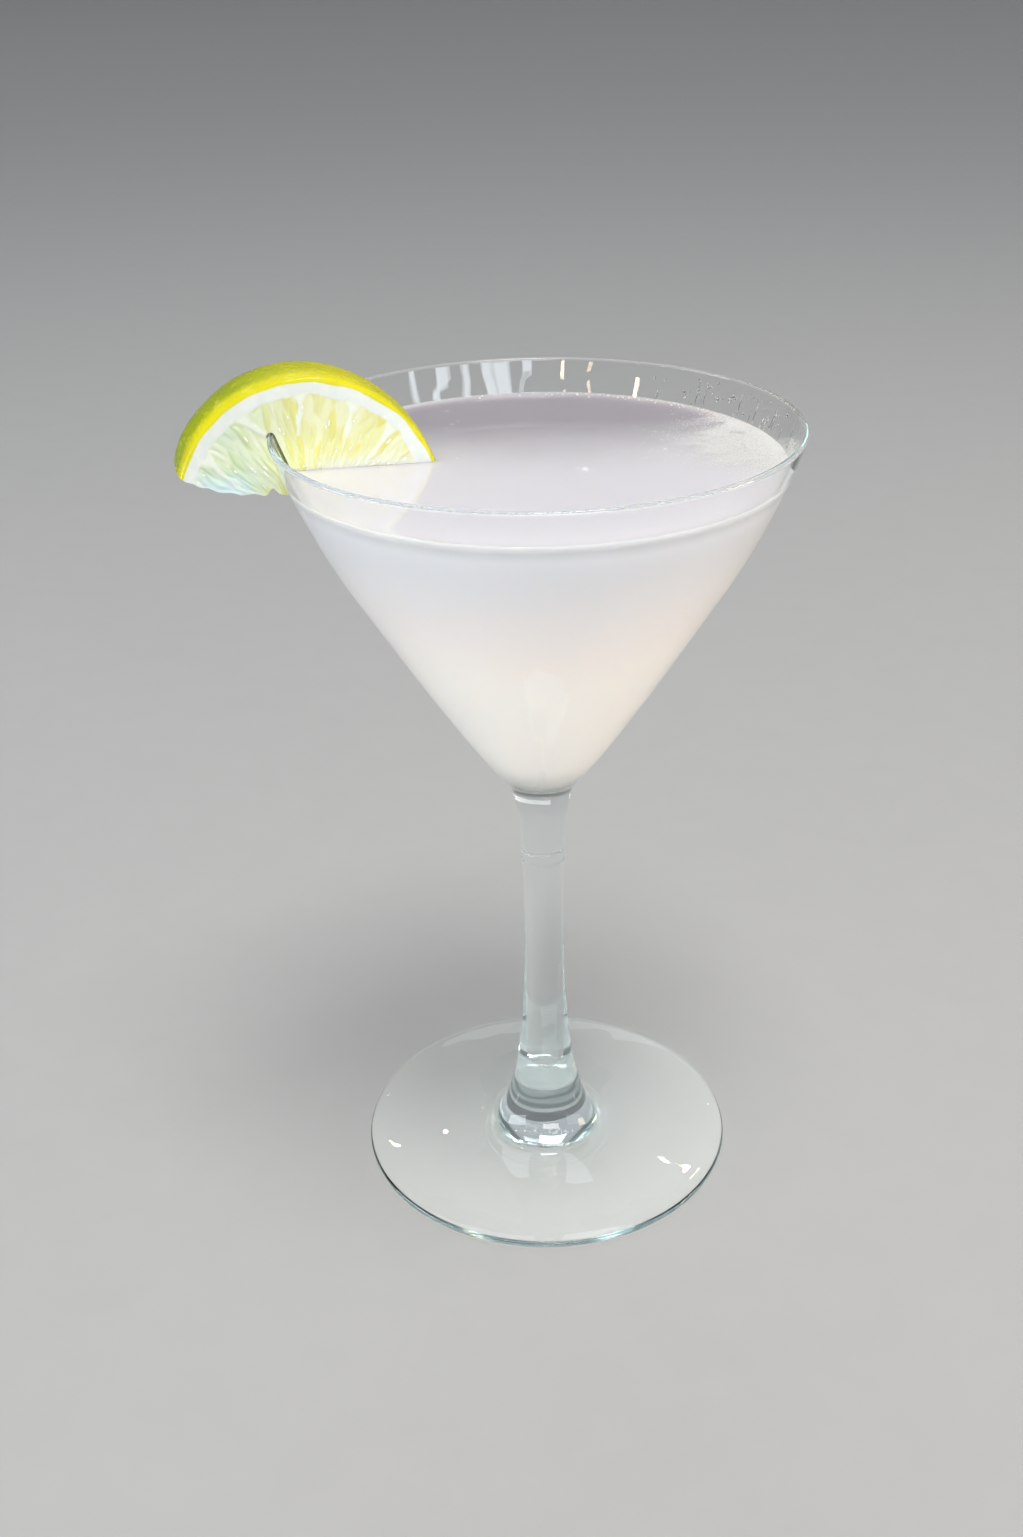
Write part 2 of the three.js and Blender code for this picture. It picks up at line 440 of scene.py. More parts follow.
def distance_to_lines(points, lines):
    """Distance from each point to the nearest of some straight lines."""
    nearest = np.full(len(points), np.inf)
    for start, end in lines:
        a, b = np.array(start), np.array(end)
        share = np.clip((points - a) @ (b - a) / ((b - a) @ (b - a)), 0, 1)
        gap = np.linalg.norm(points - (a + share[:, None] * (b - a)), axis=1)
        nearest = np.minimum(nearest, gap)
    return nearest


def juice_cells(points, seed):
    """How far each point is from the edge of its long juice cell, and that cell's own tone.
    The cells lie along rays that spread from a spot under the wheel's centre."""
    pick = np.random.default_rng(seed)
    radius = np.hypot(points[:, 0], points[:, 1] + CELLS_SPREAD_FROM)
    angle = np.arctan2(points[:, 1] + CELLS_SPREAD_FROM, points[:, 0])
    wobble = waves(points, 4.0, seed + 1) * 0.35
    spot = np.column_stack([angle * CELL_RADIUS / CELL_WIDTH + wobble, radius / CELL_LENGTH])
    columns = np.arange(-6, int(math.pi * CELL_RADIUS / CELL_WIDTH) + 6)
    rows = np.arange(-2, 10)
    grid = np.array([(c, r + 0.5 * (c % 2)) for c in columns for r in rows], float)
    grid += pick.uniform(-CELL_JITTER, CELL_JITTER, grid.shape)
    tones = pick.uniform(0, 1, len(grid))
    tree = tree_of(grid)
    edge = np.zeros(len(points))
    tone = np.zeros(len(points))
    for i, (x, y) in enumerate(spot):
        (_, first, near), (_, _, far) = tree.find_n((x, y, 0), 2)
        edge[i] = far - near
        tone[i] = tones[first]
    return edge, tone


def face_marks(points, seed):
    """What a cut face is made of at each point: skin, pith, membrane, cell edge and tone.
    A membrane is thin and faint in the middle and widens into the pith."""
    radius = np.hypot(points[:, 0], points[:, 1]) + waves(points, 4.0, seed + 5) * UNEVEN
    under_skin = FRONT_RADIUS - SKIN_DEPTH
    skin = smooth(radius, under_skin - 0.25, under_skin + 0.1)
    under_pith = under_skin - PITH_DEPTH + waves(points, 2.0, seed + 6) * UNEVEN
    pith = smooth(radius, under_pith - 0.35, under_pith + 0.3)
    width = 0.30 + 0.35 * smooth(radius, 15, 22) + smooth(radius, under_pith - 2.6, under_pith)
    thread = distance_to_lines(points, MEMBRANES) + waves(points, 2.4, seed + 7) * 0.22
    membrane = 1 - smooth(thread, width * 0.35, width * 1.3)
    membrane *= 0.30 + 0.70 * smooth(radius, 12, 21)
    edge, tone = juice_cells(points, seed)
    return skin, pith, membrane * (1 - pith), edge, tone


def face_relief(marks):
    """Height of a cut face in millimetres: plump juice cells, proud membranes, level pith."""
    _, pith, membrane, edge, tone = marks
    plump = smooth(edge, 0.0, 0.8) * (CELL_RISE + TONE_RISE * tone) - CELL_GROOVE
    flesh = plump * (1 - membrane) + MEMBRANE_RISE * membrane
    return flesh * (1 - pith) + PITH_RISE * pith


half_width = math.sqrt(FRONT_RADIUS ** 2 - CUT_HEIGHT ** 2)
start_angle = math.asin(CUT_HEIGHT / FRONT_RADIUS)
rim_turn = np.linspace(start_angle, math.pi - start_angle, FACE_COLUMNS)
rim_line = FRONT_RADIUS * np.column_stack([np.cos(rim_turn), np.sin(rim_turn)])
cut_across = half_width * (1 - 2 * np.linspace(0, 1, FACE_COLUMNS))
cut_line = np.column_stack([cut_across, cut_edge(cut_across, half_width)])
cut_line[[0, -1]] = rim_line[[0, -1]]
rise = np.linspace(0, 1, FACE_ROWS)[:, None, None]
flat = (cut_line[None] * (1 - rise) + rim_line[None] * rise).reshape(-1, 2)


def taper_at(share):
    """How much the slice's radius changes through its thickness: smaller behind, bulged between."""
    return (BACK_RADIUS - FRONT_RADIUS) * share + SKIN_BULGE * np.sin(math.pi * share)


def shaped(points, share):
    """Points of the front face carried back through the slice, with its taper, bulge and skew.
    The skin drops a little at both cut edges."""
    drop = EDGE_DROP * np.exp(-np.minimum(share, 1 - share) * THICKNESS / EDGE_REACH)
    reach = np.hypot(points[:, 0], points[:, 1]) / FRONT_RADIUS
    scale = 1 + (taper_at(share) - drop * smooth(reach, 0.93, 1.0)) / FRONT_RADIUS
    return points * scale[:, None] + share[:, None] * np.array(SKEW)


def sheet_of(points, share, lift):
    """Three coordinates for points at one share of the thickness: across, up and back."""
    share = np.full(len(points), float(share))
    return np.column_stack([shaped(points, share), share * THICKNESS + lift])


# The relief fades out at the border and over the first rows by the cut edge.
border = np.zeros((FACE_ROWS, FACE_COLUMNS))
border[1:-1, 1:-1] = 1
near_cut = smooth(np.arange(FACE_ROWS), 0, 3)[:, None] * np.ones(FACE_COLUMNS)
soften = (border * near_cut).ravel()
front = sheet_of(flat, 0.0, -face_relief(face_marks(flat, FRONT_SEED)) * soften)
back = sheet_of(flat, 1.0, face_relief(face_marks(flat, BACK_SEED)) * soften)

GLANDS = 1500
GLAND_SIZES = (0.22, 0.42)
GLAND_DEPTH = 0.13
LUMP = 0.22
LUMP_SIZE = 6.0
UNDERSIDE_WAVE = 0.35
UNDERSIDE_WAVE_SIZE = 2.2


def pores(spots, seed):
    """Dimples of the oil glands over the skin, from 0 to 1, at places in millimetres."""
    pick = np.random.default_rng(seed)
    glands = pick.uniform(spots.min(axis=0), spots.max(axis=0), (GLANDS, 2))
    sizes = pick.uniform(*GLAND_SIZES, GLANDS)
    tree = tree_of(glands)
    dip = np.zeros(len(spots))
    for i, (a, b) in enumerate(spots):
        _, found, gap = tree.find((a, b, 0))
        dip[i] = math.exp(-((gap / sizes[found]) ** 2))
    return dip


skin_share = 0.5 - 0.5 * np.cos(math.pi * np.linspace(0, 1, SKIN_ROWS))[1:-1]
arc_length = rim_turn * FRONT_RADIUS
skin_spots = np.array([(a, s * THICKNESS) for s in skin_share for a in arc_length])
dimple = GLAND_DEPTH * pores(skin_spots, 5)
lumpy = LUMP * waves(skin_spots, LUMP_SIZE, 9)
skin_fade = np.repeat(np.sin(math.pi * skin_share) ** 0.3, FACE_COLUMNS)
skin_grow = 1 + (lumpy - dimple) * skin_fade / FRONT_RADIUS
skin_flat = np.tile(rim_line, (len(skin_share), 1)) * skin_grow[:, None]
skin_depth = np.repeat(skin_share, FACE_COLUMNS)
skin = np.column_stack([shaped(skin_flat, skin_depth), skin_depth * THICKNESS])

cut_depth = np.repeat(skin_share, FACE_COLUMNS - 2)
cut_flat = np.tile(cut_line[1:-1], (len(skin_share), 1))
cut_spots = np.column_stack([cut_flat[:, 0], cut_depth * THICKNESS])
cut_wave = UNDERSIDE_WAVE * waves(cut_spots, UNDERSIDE_WAVE_SIZE, 13)
cut_flat[:, 1] += cut_wave * np.sin(math.pi * cut_depth)
underside = np.column_stack([shaped(cut_flat, cut_depth), cut_depth * THICKNESS])

points = np.vstack([front, back, skin, underside])
back_start = len(front)
skin_start = back_start + len(back)
cut_start = skin_start + len(skin)


def front_at(row, column):
    return row * FACE_COLUMNS + column


def back_at(row, column):
    return back_start + row * FACE_COLUMNS + column


def skin_at(row, column):
    """Row 0 is the front face's rim and the last row the back face's."""
    if row == 0:
        return front_at(FACE_ROWS - 1, column)
    if row == SKIN_ROWS - 1:
        return back_at(FACE_ROWS - 1, column)
    return skin_start + (row - 1) * FACE_COLUMNS + column


def cut_at(row, column):
    """The cut edge's underside shares its ends with the skin."""
    if column in (0, FACE_COLUMNS - 1):
        return skin_at(row, column)
    if row == 0:
        return front_at(0, column)
    if row == SKIN_ROWS - 1:
        return back_at(0, column)
    return cut_start + (row - 1) * (FACE_COLUMNS - 2) + column - 1


# The two ends of every face row fall on one point each, as the cut edge meets the skin there.
same = {}
for row in range(FACE_ROWS):
    for column in (0, FACE_COLUMNS - 1):
        same[front_at(row, column)] = front_at(FACE_ROWS - 1, column)
        same[back_at(row, column)] = back_at(FACE_ROWS - 1, column)


def quads(at, rows, flip):
    """Faces between the rows of a sheet. One that has shrunk to a line is left out."""
    made = []
    for row in range(rows - 1):
        for column in range(FACE_COLUMNS - 1):
            corners = [at(row, column), at(row, column + 1)]
            corners += [at(row + 1, column + 1), at(row + 1, column)]
            corners = [same.get(c, c) for c in corners]
            corners = [c for i, c in enumerate(corners) if c != corners[i - 1]]
            if len(set(corners)) > 2:
                made.append(corners[::-1] if flip else corners)
    return made


faces = quads(front_at, FACE_ROWS, True)
faces += quads(back_at, FACE_ROWS, False)
faces += quads(skin_at, SKIN_ROWS, True)
faces += quads(cut_at, SKIN_ROWS, False)

# Points that no face uses are left out, and the rest are numbered again.
used, corners_flat = np.unique(np.concatenate(faces), return_inverse=True)
face_ends = np.cumsum([0] + [len(f) for f in faces])
faces = [corners_flat[a:b].tolist() for a, b in zip(face_ends, face_ends[1:])]
across_way = Vector((math.cos(LIME_YAW), math.sin(LIME_YAW), 0))
up_way = Vector((0, 0, 1))
back_way = up_way.cross(across_way)
lime_frame = np.array([across_way, up_way, back_way])
placed = (points[used] @ lime_frame + np.array(LIME_CENTRE)) * MM
lime = piece_from("lime_slice_cut", placed, faces)

# The slit: the wall near the rim, a little thicker on both faces, is taken out of the slice.
SLIT_GAP = 0.3
SLIT_START = 162.0
SLIT_LIP_STEPS = 8
near_rim = outside_of_glass()
slit_outer = near_rim - square_to(near_rim) * SLIT_GAP
slit_inner = near_rim + square_to(near_rim) * (wall_at(near_rim[:, 1]) + SLIT_GAP)[:, None]
wanted = near_rim[:, 1] > SLIT_START
slit_outline = np.vstack([
    slit_outer[wanted][:-1],
    lip_round(SLIT_LIP_STEPS, SLIT_GAP),
    slit_inner[wanted][::-1][1:],
])
slit = turned("slit_cutter", slit_outline, closed=True)
carve = lime.modifiers.new("slit", "BOOLEAN")
carve.operation = "DIFFERENCE"
carve.solver = "MANIFOLD"
carve.object = slit
bpy.context.view_layer.update()
carved = lime.evaluated_get(bpy.context.evaluated_depsgraph_get())
lime_mesh = bpy.data.meshes.new_from_object(carved)
bpy.data.objects.remove(slit)
bpy.data.objects.remove(lime)
lime = bpy.data.objects.new("lime_slice_piece", lime_mesh)
bpy.context.scene.collection.objects.link(lime)
lime_mesh.name = "lime_slice_piece"
lime_mesh.shade_smooth()
lime_mesh.materials.clear()


def points_of(mesh):
    """A mesh's points in millimetres."""
    return np.array([v.co for v in mesh.vertices]) / MM


def mark(mesh, name, values):
    """Keeps one number for each point of a mesh, for its material to read."""
    layer = mesh.attributes.new(name, "FLOAT", "POINT")
    layer.data.foreach_set("value", values.astype(np.float32))


# What the slice is made of at each point of the carved mesh, and where on the slice it lies.
local = (points_of(lime_mesh) - np.array(LIME_CENTRE)) @ lime_frame.T
through = np.clip(local[:, 2] / THICKNESS, 0, 1)
grown = 1 + taper_at(through) / FRONT_RADIUS
wheel = (local[:, :2] - through[:, None] * np.array(SKEW)) / grown[:, None]
mark_names = ("skin", "pith", "membrane", "cell_edge", "cell_tone")
for name, near_mark, far_mark in zip(mark_names, face_marks(wheel, FRONT_SEED), face_marks(wheel, BACK_SEED)):
    mark(lime_mesh, name, np.where(through < 0.5, near_mark, far_mark))
mark(lime_mesh, "across", wheel[:, 0] / half_width)
mark(lime_mesh, "high", wheel[:, 1] / FRONT_RADIUS)
mark(lime_mesh, "through", through)

YELLOW_SKIN = (0.82, 0.73, 0.008)
GREEN_SKIN = (0.34, 0.42, 0.002)
SKIN_FLECK = (0.88, 0.80, 0.10)


def skin_colours(finish):
    """Green away from the cuts on one side of the fruit, yellow by the cuts and on the other."""
    fleck = finish.noise(420.0, 3.0, 0.6)
    blotch = finish.noise(95.0, 2.0, 0.5)
    to_left = finish.spread(finish.attribute("across"), 0.68, -0.60)
    off_cut = finish.spread(finish.attribute("through"), 0.03, 0.34)
    green = finish.work_out("MULTIPLY", to_left, off_cut)
    green = finish.work_out("MULTIPLY_ADD", blotch, 0.5, finish.work_out("SUBTRACT", green, 0.25))
    colour = finish.blend(green, YELLOW_SKIN, GREEN_SKIN)
    return finish.blend(finish.spread(fleck, 0.52, 0.75, 0.0, 0.4), colour, SKIN_FLECK)


# The pulp is greener to the left and yellower to the right, and each cell has its own tone.
GREEN_PULP = (0.66, 0.78, 0.60)
YELLOW_PULP = (0.76, 0.76, 0.37)
DEEP_GREEN_PULP = (0.58, 0.70, 0.40)
DEEP_YELLOW_PULP = (0.75, 0.71, 0.15)
PALE_PULP = (0.84, 0.87, 0.68)
CELL_WALL = (0.85, 0.87, 0.64)
WATERY_PULP = (0.66, 0.83, 0.86)
MEMBRANE_WHITE = (0.82, 0.87, 0.77)
SOAKED_PULP = (0.82, 0.83, 0.78)
PITH_SHADE = (0.75, 0.80, 0.76)
PITH_WHITE = (0.82, 0.86, 0.82)
flesh = Finish("lime_flesh")
across = flesh.attribute("across")
tone = flesh.attribute("cell_tone")
pith_mark = flesh.attribute("pith")
skin_mark = flesh.attribute("skin")
pulp = flesh.blend(flesh.spread(across, -0.62, 0.12), GREEN_PULP, YELLOW_PULP)
deep = flesh.blend(flesh.spread(across, -0.6, 0.0), DEEP_GREEN_PULP, DEEP_YELLOW_PULP)
pulp = flesh.blend(flesh.spread(tone, 0.45, 1.0, 0.0, 0.75), pulp, deep)
pulp = flesh.blend(flesh.spread(tone, 0.0, 0.4, 0.55, 0.0), pulp, PALE_PULP)
cell_wall = flesh.spread(flesh.attribute("cell_edge"), 0.0, 0.30, 0.35, 0.0)
pulp = flesh.blend(cell_wall, pulp, CELL_WALL)
low = flesh.spread(flesh.attribute("high"), 0.42, 0.18)
low_left = flesh.work_out("MULTIPLY", flesh.spread(across, -0.3, -0.6), low)
pulp = flesh.blend(low_left, pulp, WATERY_PULP)
pulp = flesh.blend(flesh.attribute("membrane"), pulp, MEMBRANE_WHITE)

# The pulp just over the drink, inside the bowl, is soaked with it and paler.
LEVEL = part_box("drink")[1].z / MM
SOAKED_TOP = 181.5
WALL_BY_SLICE = -50.0
INSIDE_BOWL = -42.0
slice_place = flesh.axes()
near_drink = flesh.spread(slice_place["Z"], SOAKED_TOP * MM, LEVEL * MM, 0.0, 0.8)
in_bowl = flesh.spread(slice_place["X"], WALL_BY_SLICE * MM, INSIDE_BOWL * MM)
pulp = flesh.blend(flesh.work_out("MULTIPLY", near_drink, in_bowl), pulp, SOAKED_PULP)

mottle = flesh.noise(420.0, 3.0, 0.6)
pith_colour = flesh.blend(flesh.spread(mottle, 0.3, 0.8), PITH_SHADE, PITH_WHITE)
inside = flesh.blend(pith_mark, pulp, pith_colour)
firm = flesh.work_out("MAXIMUM", pith_mark, skin_mark)
flesh.drive(Base_Color=flesh.blend(skin_mark, inside, skin_colours(flesh)))
flesh.drive(Roughness=flesh.spread(firm, 0, 1, 0.13, 0.42))
flesh.relief(flesh.noise(1600.0, 3.0, 0.6), 0.0001, 0.35)
flesh.set(IOR=1.36, Subsurface_Weight=0.35, Subsurface_Radius=(1.0, 0.9, 0.45), Subsurface_Scale=0.0025)

rind = Finish("lime_rind")
rind.drive(Base_Color=skin_colours(rind))
rind.drive(Roughness=rind.spread(rind.noise(700.0, 3.0), 0.3, 0.8, 0.16, 0.32))
rind.relief(rind.noise(1300.0, 3.0, 0.6), 0.00015, 0.5)
rind.set(IOR=1.42, Specular_IOR_Level=0.35, Subsurface_Weight=0.12,
         Subsurface_Radius=(1.0, 0.8, 0.1), Subsurface_Scale=0.0015)

RIND_BAND = 0.75
TURNED_FROM_CUT = 0.8
lime_mesh.materials.append(flesh.material)
lime_mesh.materials.append(rind.material)
reach = np.hypot(wheel[:, 0], wheel[:, 1])
for face in lime_mesh.polygons:
    by_skin = reach[list(face.vertices)].min() > FRONT_RADIUS - RIND_BAND
    if by_skin and abs(face.normal @ back_way) < TURNED_FROM_CUT:
        face.material_index = 1
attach(lime, "root")
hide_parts("lime_slice")


# ---- Painted glints of juice on the slice ---------------------------------------------
# Pale opaque beads on the cut pulp, painted highlights for the glints of wet juice cells, about a
# third of them along the lower edge, just over the drink. Their gloss also catches small lights.
JUICE_BEADS = 80
EDGE_SHARE = 0.35
BEAD_LEAST = 0.08
BEAD_MORE = 0.22
BEAD_SPAN = (-25, 23)
BEAD_TOP = 23
OFF_EDGE = 0.7
ALONG_EDGE = (0.3, 1.4)
CLEAR_OF_GLASS = 2.6
RIM_SLOPE = 0.36


def beads(name, rows, around, layers):
    """Closed domes joined in one mesh. A row is the place, the way out, the way along, the
    half length, the half width, the height and how deep it is sunk, in millimetres."""
    turn = np.linspace(0, 2 * math.pi, around, endpoint=False)
    points, faces = [], []
    for place, out, along, length, width, height, sunk in rows:
        side_way = np.cross(out, along)
        ring = length * np.cos(turn)[:, None] * along + width * np.sin(turn)[:, None] * side_way
        first = len(points)
        foot = place - sunk * out
        points += [foot + height * out, foot]
        for layer in range(1, layers + 1):
            lean = 0.5 * math.pi * layer / layers
            points += list(foot + math.sin(lean) * ring + math.cos(lean) * height * out)
        for i in range(around):
            j = (i + 1) % around
            a, b = first + 2, first + 2 + (layers - 1) * around
            faces += [[first, a + i, a + j], [first + 1, b + j, b + i]]
            for layer in range(layers - 1):
                low = a + layer * around
                faces.append([low + i, low + around + i, low + around + j, low + j])
    return piece_from(name, np.array(points) * MM, faces)


juice_random = np.random.default_rng(63)
face_out = -np.array(back_way)
juice_rows = []
while len(juice_rows) < JUICE_BEADS:
    across_place = juice_random.uniform(*BEAD_SPAN)
    low = cut_edge(np.array([across_place]), half_width)[0] + OFF_EDGE
    if juice_random.uniform() < EDGE_SHARE:
        up_place = max(low, CUT_HEIGHT + juice_random.uniform(*ALONG_EDGE))
    else:
        up_place = juice_random.uniform(low, BEAD_TOP)
    if math.hypot(across_place, up_place) > FRONT_RADIUS - SKIN_DEPTH - PITH_DEPTH:
        continue
    place = np.array(LIME_CENTRE) + np.array((across_place, up_place, 0)) @ lime_frame
    wall_there = RIM_RADIUS - (HEIGHT - place[2]) * RIM_SLOPE
    if abs(math.hypot(place[0], place[1]) - wall_there) < CLEAR_OF_GLASS:
        continue
    ray = np.array((across_place, up_place + CELLS_SPREAD_FROM, 0)) @ lime_frame
    ray /= np.linalg.norm(ray)
    size = BEAD_LEAST + BEAD_MORE * juice_random.power(0.6)
    stretch = juice_random.uniform(1.0, 3.0)
    juice_rows.append((place, face_out, ray, size * stretch, size, size * 0.9, -0.02))
juice = beads("juice_glint_beads", juice_rows, 10, 3)
painted_glint_cells = Finish("painted_glint_cells")
cell_cloud = painted_glint_cells.noise(500.0)
# Painted highlight: the beads are pale and opaque where real juice is clear.
painted_glint_cells.drive(Base_Color=painted_glint_cells.blend(cell_cloud, (0.86, 0.88, 0.70), (0.93, 0.94, 0.86)))
painted_glint_cells.set(Roughness=0.05, IOR=1.36)
juice.data.materials.append(painted_glint_cells.material)
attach(juice, "root")


# ---- Drink ----------------------------------------------------------------------------
# Shaken lime drink: a cloudy white liquid that fills the bowl to within a centimetre of its
# rim, climbs a little up the wall and the slice where it touches them, and scatters light
# like thin milk.
INTO_WALL = -0.12
CLIMB = 0.8
CLIMB_REACH = 1.0
SLICE_CLIMB = 0.22
SLICE_CLIMB_REACH = 0.9
AT_LEVEL = 0.35
SURFACE_RINGS = 110
DRINK_STEPS = 320

side = inside_of_bowl(INTO_WALL)[::-1]
edge_height = LEVEL + CLIMB
wall_radius = np.interp(edge_height, side[:, 1], side[:, 0])
side = side[side[:, 1] < edge_height]


def climbed(radius):
    """Height of the drink's surface at a distance from the axis, before the slice lifts it."""
    return LEVEL + CLIMB * np.exp(-(wall_radius - radius) / CLIMB_REACH)


surface_radius = wall_radius * (1 - np.linspace(0, 1, SURFACE_RINGS) ** 1.5)
surface = np.column_stack([surface_radius, climbed(surface_radius)])
drink = turned("cloudy_drink", np.vstack([side, surface]), steps=DRINK_STEPS)
drink_mesh = drink.data

# The surface starts at its outer ring. The last two points are the ends on the axis, the
# lower one first.
top_ring = (len(side) - 1) * DRINK_STEPS
places = points_of(drink_mesh)
lowest = len(places) - 2
on_top = np.arange(len(places)) >= top_ring
on_top[lowest] = False

# Round the slice the surface turns up a little, as it does by the wall.
wet = points_of(lime_mesh)
wet = wet[abs(wet[:, 2] - LEVEL) < AT_LEVEL]
tree = tree_of(wet[:, :2])
apart = np.array([tree.find((x, y, 0))[2] for x, y in places[on_top][:, :2]])
from_wall = wall_radius - np.hypot(places[on_top][:, 0], places[on_top][:, 1])
slice_lift = SLICE_CLIMB * np.exp(-apart / SLICE_CLIMB_REACH)
places[on_top, 2] += slice_lift * smooth(from_wall, 0.0, 1.2)
drink_mesh.vertices.foreach_set("co", (places * MM).astype(np.float32).ravel())

# Where the froth lies the surface is whiter: a soft patch at the right, by the wall.
FROTH_MIDDLE = math.radians(12)
FROTH_SPREAD = math.radians(17)
FROTH_REACH = 13.0


def froth_share(points):
    """How thick the froth lies at places on the surface, from 0 to 1."""
    turn = np.arctan2(points[:, 1], points[:, 0]) - FROTH_MIDDLE
    off_wall = np.maximum(wall_radius - np.hypot(points[:, 0], points[:, 1]), 0)
    share = np.exp(-((turn / FROTH_SPREAD) ** 2)) * np.exp(-((off_wall / FROTH_REACH) ** 1.5))
    patchy = 1 + 0.55 * waves(points, 4.5, 77) + 0.25 * waves(points, 1.5, 78)
    return np.clip(1.25 * share * patchy, 0, 1)


mark(drink_mesh, "froth", np.clip(2.4 * froth_share(places[:, :2]), 0, 1) * on_top)

# Through the glass the drink has painted light and shade: painted shade makes it cool and grey
# above, painted light warm and white below, and a narrow band of painted shade dims the waterline.
MILK_PAINTED_SHADE_HIGH = (0.65, 0.665, 0.71)
MILK_PAINTED_LIGHT_LOW = (0.96, 0.88, 0.84)
MILK_CLOUD = (0.85, 0.845, 0.85)
WATERLINE_PAINTED_SHADE = (0.36, 0.365, 0.38)
COOL_ABOVE = LEVEL + 8
WARM_BELOW = LEVEL - 42
BAND_FOOT = LEVEL - 3.5
BAND_HEAD = LEVEL + 0.3
body = Finish("drink_body")
body_height = body.axes()["Z"]
# Painted light and shade: lighter and warmer towards the bottom, greyer and cooler above.
painted_light_low_share = body.spread(body_height, COOL_ABOVE * MM, WARM_BELOW * MM)
milk_and_painted_light = body.blend(painted_light_low_share, MILK_PAINTED_SHADE_HIGH, MILK_PAINTED_LIGHT_LOW)
milk_and_painted_light = body.blend(body.spread(body.noise(22.0, 3.0, 0.5), 0.3, 0.8, 0.0, 0.15), milk_and_painted_light, MILK_CLOUD)
# Painted shade: the drink is darkened most at the waterline, fading out a few millimetres below it.
waterline_shade_share = body.spread(body_height, BAND_FOOT * MM, BAND_HEAD * MM, 0.0, 0.65)
body.drive(Base_Color=body.blend(waterline_shade_share, milk_and_painted_light, WATERLINE_PAINTED_SHADE))
body.set(Roughness=0.3, Specular_IOR_Level=0.1, IOR=1.34, Subsurface_Weight=1.0,
         Subsurface_Radius=(1.0, 0.92, 0.82), Subsurface_Scale=0.006)

# From above it is milky in front, and painted shade darkens it towards the back.
SURFACE_MILK = (0.79, 0.77, 0.805)
SURFACE_PAINTED_SHADE = (0.39, 0.36, 0.395)
FROTH_FILM = (0.85, 0.84, 0.82)
BACK_SHADE_FROM = -0.020
BACK_SHADE_TO = 0.050
top = Finish("drink_surface")
swirl = top.noise(24.0, 4.0, 0.55)
# Painted shade: the surface grows darker towards the back of the bowl, broken up by a swirl.
back_shade = top.work_out("MULTIPLY_ADD", swirl, 0.35, top.spread(top.axes()["Y"], BACK_SHADE_FROM, BACK_SHADE_TO))
calm = top.blend(top.spread(back_shade, 0.15, 1.15), SURFACE_MILK, SURFACE_PAINTED_SHADE)
top.drive(Base_Color=top.blend(top.attribute("froth"), calm, FROTH_FILM))
top.relief(top.noise(55.0, 2.0, 0.4), 0.0002, 0.25)
top.set(Roughness=0.03, IOR=1.34, Subsurface_Weight=1.0,
        Subsurface_Radius=(1.0, 0.92, 0.85), Subsurface_Scale=0.004)
drink_mesh.materials.append(body.material)
drink_mesh.materials.append(top.material)
for face in drink_mesh.polygons:
    if min(face.vertices) >= top_ring and lowest not in face.vertices:
        face.material_index = 1
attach(drink, "root")
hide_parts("drink")


# ---- Froth ----------------------------------------------------------------------------
# Air that the shaker leaves on top: a film of pinhead bubbles that drifts to the right of
# the bowl and lines the wall there, and a few larger clear bubbles on their own.
OUT = np.array((0.0, 0.0, 1.0))
ALONG = np.array((1.0, 0.0, 0.0))
FROTH_TRIES = 19000
FROTH_LEAST = 0.08
FROTH_MORE = 0.13
FILM_DEPTH = 8.0
WALL_GAP = 0.2
KEPT = 0.85
LINING = 170
LINING_SPAN = (-40, 15, 115)
LINING_SIZES = (0.10, 0.32)
LINING_DEPTH = 0.35
froth_random = np.random.default_rng(31)
tries = np.column_stack([
    froth_random.normal(FROTH_MIDDLE, FROTH_SPREAD * 1.1, FROTH_TRIES),
    wall_radius - WALL_GAP - froth_random.exponential(FILM_DEPTH, FROTH_TRIES),
])
spots = tries[:, 1, None] * np.column_stack([np.cos(tries[:, 0]), np.sin(tries[:, 0])])
thick = froth_share(spots)
luck = froth_random.uniform(0, 1, FROTH_TRIES)
froth_rows = []
for (x, y), share, chance in zip(spots, thick, luck):
    if chance > KEPT * share ** 0.7:
        continue
    size = FROTH_LEAST + FROTH_MORE * froth_random.power(0.5)
    place = np.array((x, y, climbed(math.hypot(x, y))))
    froth_rows.append((place, OUT, ALONG, size, size, size * 0.8, size * 0.4))
for _ in range(LINING):
    angle = math.radians(froth_random.triangular(*LINING_SPAN))
    size = froth_random.uniform(*LINING_SIZES)
    radius = wall_radius - size * 0.7 - froth_random.exponential(LINING_DEPTH)
    place = np.array((radius * math.cos(angle), radius * math.sin(angle), climbed(radius)))
    froth_rows.append((place, OUT, ALONG, size, size, size * 0.9, size * 0.35))
froth = beads("froth", froth_rows, 6, 2)
foam = Finish("froth")
foam_shade = foam.noise(900.0, 2.0)
foam.drive(Base_Color=foam.blend(foam_shade, (0.77, 0.765, 0.75), (0.86, 0.855, 0.84)))
foam.set(Roughness=0.2, IOR=1.34)
froth.data.materials.append(foam.material)
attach(froth, "root")

# Across, back and size of each larger bubble.
BUBBLES = (
    (9.8, -5.7, 0.85), (8.3, -4.6, 0.35), (-20.9, 39.4, 0.6), (-19.3, 28.7, 0.5), (-18.0, 31.5, 0.32),
    (-20.6, 25.8, 0.28), (-17.2, 3.4, 0.4), (-16.1, 5.6, 0.25), (42.6, 26.4, 0.7), (39.0, 31.6, 0.55),
    (35.6, 35.6, 0.75), (34.0, 38.2, 0.4), (20.4, 46.6, 0.5), (26.0, 20.5, 0.45), (27.5, 8.0, 0.4),
)


